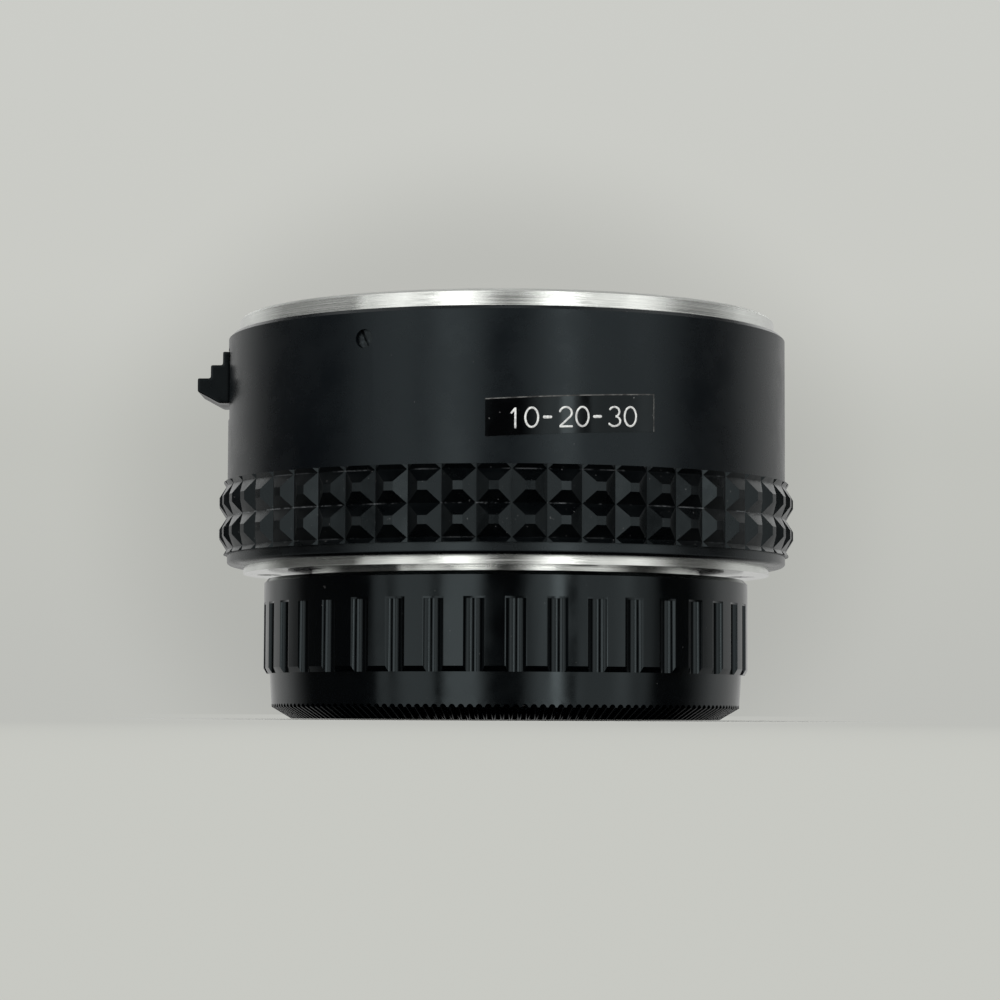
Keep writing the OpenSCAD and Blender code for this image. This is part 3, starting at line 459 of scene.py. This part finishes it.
# The row of digits sits a little under the tape's middle (the drop), and slants less than the tape does (by
# the level, over the tape's whole length). Each stroke is a bead half sunk in a bed just above the tape.
LABEL_TEXT = "10-20-30"
DIGIT_TALL = 2.0 * MM
DIGIT_WIDE = 1.58 * MM
DIGIT_PITCH = 1.77 * MM
DIGIT_STROKE = 0.21 * MM
DASH_STROKE = 0.3 * MM
DIGIT_START = 2.24 * MM
DIGIT_DROP = 0.15 * MM
DIGIT_LEVEL = 0.28 * MM
DIGIT_BED = TAPE_THICK + 0.02 * MM
DIGIT_RAISE = 0.04 * MM
STROKE_SIDES = 8
STROKE_END_RINGS = 4
STROKE_TIP_SHARE = 0.02
STROKE_LEAST_POINTS = 4


def on_barrel(along, up, lift):
    """The barrel's side at an arc length from the tape's left end, a height over its low edge and a lift."""
    angle = TAPE_LEFT + along / BARREL_R
    radius = BARREL_R + lift
    height = TAPE_LOW_LEFT + TAPE_RISE * along / TAPE_LONG + up
    return np.stack([radius * np.sin(angle), -radius * np.cos(angle), height], axis=-1)


def grid_shell(name, outer, inner, material):
    """A closed thin shell between two grids of points of the same shape."""
    rows, columns = outer.shape[:2]
    count = rows * columns
    index = np.arange(count).reshape(rows, columns)
    quads = np.stack([index[:-1, :-1], index[:-1, 1:], index[1:, 1:], index[1:, :-1]], axis=-1).reshape(-1, 4)
    rim = np.concatenate([index[0, :-1], index[:-1, -1], index[-1, :0:-1], index[:0:-1, 0]])
    after = np.roll(rim, -1)
    sides = np.stack([rim, rim + count, after + count, after], axis=-1)
    faces = np.concatenate([quads, quads[:, ::-1] + count, sides])
    points = np.concatenate([outer.reshape(-1, 3), inner.reshape(-1, 3)])
    return mesh_object(name, points, faces.tolist(), material)


def tape_strip(name, long, wide, lift, thick, material):
    """A strip of tape bent round the barrel, from the tape's left end and lower edge."""
    along, up = np.meshgrid(np.linspace(0.0, long, TAPE_COLUMNS), np.linspace(0.0, wide, TAPE_ROWS))
    strip = grid_shell(name, on_barrel(along, up, lift + thick), on_barrel(along, up, lift), material)
    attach(strip, "barrel")


def tape_label():
    """The strip of embossing tape: a gloss black face, and under it a painted edge highlight at the top and
    right.
    """
    half = TAPE_THICK / 2
    # A pale grey layer, wider than the face at the top and right: a painted edge highlight
    tape_strip("tape_edge_highlight", TAPE_LONG, TAPE_WIDE, TAPE_GAP, half, tape_edge_highlight_material())
    tape_strip("tape_face", TAPE_LONG - TAPE_EDGE, TAPE_WIDE - TAPE_EDGE, TAPE_GAP + half, half,
               tape_material())


def arc(centre, radii, start, end, count):
    """Points of an elliptic arc between two angles in degrees."""
    angle = np.radians(np.linspace(start, end, count))
    return np.stack([centre[0] + radii[0] * np.cos(angle), centre[1] + radii[1] * np.sin(angle)], axis=-1)


# The strokes of each sign in a box one wide and one tall
STROKES = {
    "0": [arc((0.5, 0.5), (0.42, 0.5), 90, 450, 40)],
    "1": [np.array([(0.3, 0.76), (0.55, 1.0), (0.55, 0.5), (0.55, 0.0)])],
    "2": [np.concatenate([arc((0.5, 0.7), (0.4, 0.3), 165, -38, 20), np.array([(0.1, 0.0), (0.92, 0.0)])])],
    "3": [np.concatenate([arc((0.47, 0.75), (0.36, 0.25), 150, -80, 18),
                          arc((0.47, 0.26), (0.42, 0.26), 80, -150, 18)])],
    "-": [np.array([(0.2, 0.5), (0.62, 0.5)])],
}


def fine_path(path, step):
    """The path with points at an even distance along it."""
    reach = np.concatenate([[0.0], np.cumsum(np.linalg.norm(np.diff(path, axis=0), axis=1))])
    even = np.linspace(0.0, reach[-1], max(STROKE_LEAST_POINTS, int(reach[-1] / step) + 1))
    return np.stack([np.interp(even, reach, path[:, 0]), np.interp(even, reach, path[:, 1])], axis=-1)


def embossed_stroke(path, wide, tall):
    """An oval bead along a flat path, thinning to a point round each end.

    The bead's cross-section is an ellipse across the path, and its size falls as a circle's does at the
    ends."""
    path = fine_path(path, wide / 3)
    ahead = np.gradient(path, axis=0)
    ahead /= np.linalg.norm(ahead, axis=1)[:, None]
    across = np.stack([-ahead[:, 1], ahead[:, 0]], axis=-1)
    out = np.linspace(1.0, 0.0, STROKE_END_RINGS + 1)[:-1]
    share = np.sqrt(np.clip(1.0 - out ** 2, STROKE_TIP_SHARE, 1.0))
    start = path[0] - ahead[0] * wide / 2 * out[:, None]
    end = path[-1] + ahead[-1] * wide / 2 * out[::-1, None]
    spine = np.concatenate([start, path, end])
    size = np.concatenate([share, np.ones(len(path)), share[::-1]])
    sideways = np.concatenate([np.repeat(across[:1], len(out), 0), across,
                               np.repeat(across[-1:], len(out), 0)])
    turn = np.linspace(0.0, 2 * np.pi, STROKE_SIDES, endpoint=False)
    flat = spine[:, None, :] + sideways[:, None, :] * (wide / 2 * size[:, None] * np.cos(turn))[..., None]
    lift = tall * size[:, None] * np.sin(turn)
    return flat, lift


def label_digits():
    """Plain generic numbers as raised white strokes, bent round the barrel with the tape."""
    foot = (TAPE_WIDE - DIGIT_TALL) / 2 - DIGIT_DROP
    points, faces, count = [], [], 0
    for position, sign in enumerate(LABEL_TEXT):
        origin = np.array([DIGIT_START + position * DIGIT_PITCH, foot])
        wide = DASH_STROKE if sign == "-" else DIGIT_STROKE
        for stroke in STROKES[sign]:
            flat, lift = embossed_stroke(origin + stroke * [DIGIT_WIDE, DIGIT_TALL], wide, DIGIT_RAISE)
            along, up = flat[..., 0], flat[..., 1] - DIGIT_LEVEL * flat[..., 0] / TAPE_LONG
            points.append(on_barrel(along, up, DIGIT_BED + lift).reshape(-1, 3))
            index = count + np.arange(lift.size).reshape(lift.shape)
            after = np.roll(index, -1, axis=1)
            quads = np.stack([index[:-1], after[:-1], after[1:], index[1:]], axis=-1).reshape(-1, 4)
            faces += quads.tolist() + [index[0, ::-1].tolist(), index[-1].tolist()]
            count += lift.size
    digits = mesh_object("label_digits", np.concatenate(points), faces, digit_material())
    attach(digits, "barrel")


# ---- The camera, from the fit of the object's outlines in the photograph ----

CAMERA_BACK = 349.6 * MM
CAMERA_SIDE = -1.73 * MM
CAMERA_HEIGHT = 0.5 * MM
CAMERA_PITCH = math.radians(3.96)
CAMERA_YAW = math.radians(0.17)
CAMERA_ROLL = math.radians(0.24)
FOCAL_PIXELS = 3103.6
IMAGE_PIXELS = 1000
SENSOR = 36.0
CLIP_START = 1.0 * MM
CLIP_END = 20.0


def make_camera():
    """The camera that looks up at the object by about four degrees, as in the photograph."""
    data = bpy.data.cameras.new("camera")
    data.sensor_width = SENSOR
    data.lens = FOCAL_PIXELS / IMAGE_PIXELS * SENSOR
    data.clip_start = CLIP_START
    data.clip_end = CLIP_END
    camera = bpy.data.objects.new("camera", data)
    scene.collection.objects.link(camera)
    turn = (Matrix.Rotation(-CAMERA_YAW, 4, "Z") @ Matrix.Rotation(math.pi / 2 + CAMERA_PITCH, 4, "X")
            @ Matrix.Rotation(CAMERA_ROLL, 4, "Z"))
    camera.matrix_world = Matrix.Translation((CAMERA_SIDE, -CAMERA_BACK, CAMERA_HEIGHT)) @ turn
    scene.camera = camera


# ---- Light, backdrop and floor. In the world a height is the sine of the angle over the horizon. ----

# The backdrop's tone by height, for the camera alone: painted shade, darker towards the horizon
BACKDROP = [(0.0, (0.512, 0.518, 0.490)), (0.08, (0.535, 0.542, 0.508)), (0.14, (0.590, 0.596, 0.562)),
            (0.23, (0.600, 0.607, 0.575))]

# A painted shadow: the backdrop is a little darker behind the object. The constants: the middle's height,
# the half width and half height of that patch, where its edge starts and ends as shares of these, and its
# tone
SHADOW_PATCH_HEIGHT = 0.068
SHADOW_PATCH_HALF = (0.098, 0.085)
SHADOW_PATCH_EDGE = (0.85, 1.45)
SHADOW_PATCH_TONE = 0.84

# The floor's tone by the distance in front of the axis, in metres, for the camera alone, is painted shade:
# darker near the object, lighter further in front. It takes over from the lit floor between two radii round
# the object, and so leaves the shadow there.
FLOOR = [(0.12, (0.512, 0.518, 0.490)), (0.33, (0.575, 0.582, 0.545))]
FLOOR_FADE = (0.033, 0.05)
FLOOR_HALF = 3.0
FLOOR_DROP = 0.1 * MM

# Soft light panels round the object: azimuth from the front, half width, soft edge (degrees) and strength.
# The two with a negative strength are the dark bars between window panes.
PANELS = [
    (0, 180, 10, 0.03), (173, 50, 30, 0.50), (-61, 1.5, 4, 0.60), (-43, 5, 13, 0.85), (-21, 5, 9, 1.45),
    (-32, 1, 2.5, -0.75), (22, 4, 13, 1.05), (24, 1, 3, 1.60), (31, 1, 2.5, -0.80), (46, 8, 12, 0.66),
    (64, 4, 10, 0.50),
]

# The panels and the haze end between these two heights, above and below, and are weaker under the horizon
PANEL_END = (0.42, 0.6)
PANEL_BELOW = (-0.35, -0.12)
PANEL_BELOW_SHARE = 0.3

# Haze above and below the panels' middle, a small lamp overhead, and a high panel at the back: the heights
# between which each one rises, and its strength
HAZE_RISE = (0.12, 0.3)
HAZE = 0.65
CEILING_RISE = (0.975, 0.995)
CEILING = 0.9
HIGH_RISE = (0.70, 0.80)
HIGH_END = (0.93, 0.985)
HIGH_BACKWARD = (0.1, 0.3)
HIGH_BACK = 0.75
LIGHT_TONE = (1.0, 1.0, 0.985)

LAMP_PLACE = (-0.1, -0.5, 0.6)
LAMP_AIM = (0.0, 0.0, 0.02)
LAMP_SIDE = 0.7
LAMP_POWER = 4.8


def panel_light(write, parts):
    """The strength of the upright panels and the haze, by azimuth and height."""
    azimuth = write.math("ARCTAN2", parts[0], write.math("MULTIPLY", parts[1], -1.0))
    degrees = write.math("MULTIPLY", azimuth, 180 / math.pi)
    total = 0.0
    for centre, half, soft, strength in PANELS:
        away = write.math("ABSOLUTE", write.math("SUBTRACT", degrees, float(centre)))
        near = write.math("MINIMUM", away, write.math("SUBTRACT", 360.0, away))
        total = write.math("ADD", total, write.smooth(near, half, half + soft, strength, 0.0))
    slope = write.math("ABSOLUTE", parts[2])
    haze = write.smooth(slope, *HAZE_RISE, 0.0, HAZE)
    upright = write.smooth(slope, *PANEL_END, 1.0, 0.0)
    below = write.smooth(parts[2], *PANEL_BELOW, PANEL_BELOW_SHARE, 1.0)
    return write.math("MULTIPLY", write.math("ADD", total, haze), write.math("MULTIPLY", upright, below))


def overhead_light(write, parts):
    """The strength of the lamp overhead and of the high panel at the back."""
    ceiling = write.smooth(parts[2], *CEILING_RISE, 0.0, CEILING)
    rise, end = write.smooth(parts[2], *HIGH_RISE), write.smooth(parts[2], *HIGH_END, 1.0, 0.0)
    behind = write.smooth(parts[1], *HIGH_BACKWARD, 0.0, HIGH_BACK)
    return write.math("ADD", ceiling, write.math("MULTIPLY", write.math("MULTIPLY", rise, end), behind))


def backdrop_strength_with_painted_shadow(write, parts):
    """One, and less in the oval patch behind the object: a painted shadow on the backdrop."""
    sideways = write.math("DIVIDE", parts[0], SHADOW_PATCH_HALF[0])
    upwards = write.math("DIVIDE", write.math("SUBTRACT", parts[2], SHADOW_PATCH_HEIGHT), SHADOW_PATCH_HALF[1])
    squares = write.math("ADD", write.math("POWER", sideways, 2.0), write.math("POWER", upwards, 2.0))
    inside = write.smooth(write.math("SQRT", squares), *SHADOW_PATCH_EDGE, 1.0, 0.0)
    shade = write.math("MULTIPLY", inside, write.math("GREATER_THAN", parts[1], 0.0))
    return write.math("SUBTRACT", 1.0, write.math("MULTIPLY", shade, 1.0 - SHADOW_PATCH_TONE))


def light_world():
    """Light from all round by soft panels, and a pale backdrop that the camera alone sees, with painted
    shade.
    """
    world = bpy.data.worlds.new("studio")
    world.use_nodes = True
    scene.world = world
    write = Nodes(world.node_tree)
    direction = write.add("ShaderNodeTexCoord").outputs["Generated"]
    parts = write.add("ShaderNodeSeparateXYZ", {0: direction}).outputs
    level = write.math("ADD", panel_light(write, parts), overhead_light(write, parts))
    light = write.add("ShaderNodeBackground", {"Color": rgba(LIGHT_TONE), "Strength": level})
    # The backdrop's tone for the camera is painted shade, darker towards the horizon
    tone = write.steps(parts[2], BACKDROP)
    # Its strength carries a painted shadow in an oval patch behind the object
    painted_shade_tone = write.add("ShaderNodeBackground", {"Color": tone, "Strength": backdrop_strength_with_painted_shadow(write, parts)})
    seen = write.add("ShaderNodeLightPath").outputs["Is Camera Ray"]
    chosen = write.add("ShaderNodeMixShader", {0: seen, 1: light.outputs[0], 2: painted_shade_tone.outputs[0]})
    write.add("ShaderNodeOutputWorld", {"Surface": chosen.outputs[0]})


def top_lamp():
    """A soft lamp that lights colours but isn't seen in the gloss."""
    data = bpy.data.lights.new("top_softbox", "AREA")
    data.shape = "RECTANGLE"
    data.size, data.size_y = LAMP_SIDE, LAMP_SIDE
    data.energy = LAMP_POWER
    light = bpy.data.objects.new("top_softbox", data)
    light.location = LAMP_PLACE
    light.rotation_euler = (Vector(LAMP_AIM) - Vector(LAMP_PLACE)).to_track_quat("-Z", "Y").to_euler()
    light.visible_glossy = False
    scene.collection.objects.link(light)


def make_stage():
    """A pale floor with the object's shadow and painted shade near it, meeting the backdrop in the same tone.
    """
    corners = np.array([[-1, -1, 0], [1, -1, 0], [1, 1, 0], [-1, 1, 0]]) * FLOOR_HALF - [0, 0, FLOOR_DROP]
    material, write, shader, place = new_material("pale_floor")
    set_base(shader, (0.68, 0.68, 0.66), 0.0, 0.9, Specular_IOR_Level=0.0)
    tint_by_noise(write, shader, place, 6.0, (0.67, 0.675, 0.65), (0.69, 0.695, 0.67))
    ahead = write.math("MULTIPLY", along_axis(write, place, 1), -1.0)
    # For the camera the floor's tone is painted shade: darker near the object, lighter further in front
    painted_shade_tone = write.add("ShaderNodeEmission", {"Color": write.steps(ahead, FLOOR), "Strength": 1.0})
    seen = write.add("ShaderNodeLightPath").outputs["Is Camera Ray"]
    factor = write.math("MULTIPLY", seen, write.smooth(radius_of(write, place), *FLOOR_FADE))
    chosen = write.add("ShaderNodeMixShader", {0: factor, 1: shader.outputs[0], 2: painted_shade_tone.outputs[0]})
    output = next(node for node in write.tree.nodes if node.type == "OUTPUT_MATERIAL")
    write.tree.links.new(chosen.outputs[0], output.inputs[0])
    floor = mesh_object("floor", corners, [(0, 1, 2, 3)], material)
    floor.visible_glossy = False


finishes = dress_frame()
soften_slider()
pin_spring(finishes["spring_steel"])
tape_label()
label_digits()
make_stage()
light_world()
top_lamp()
make_camera()
scene.view_settings.view_transform = "Standard"
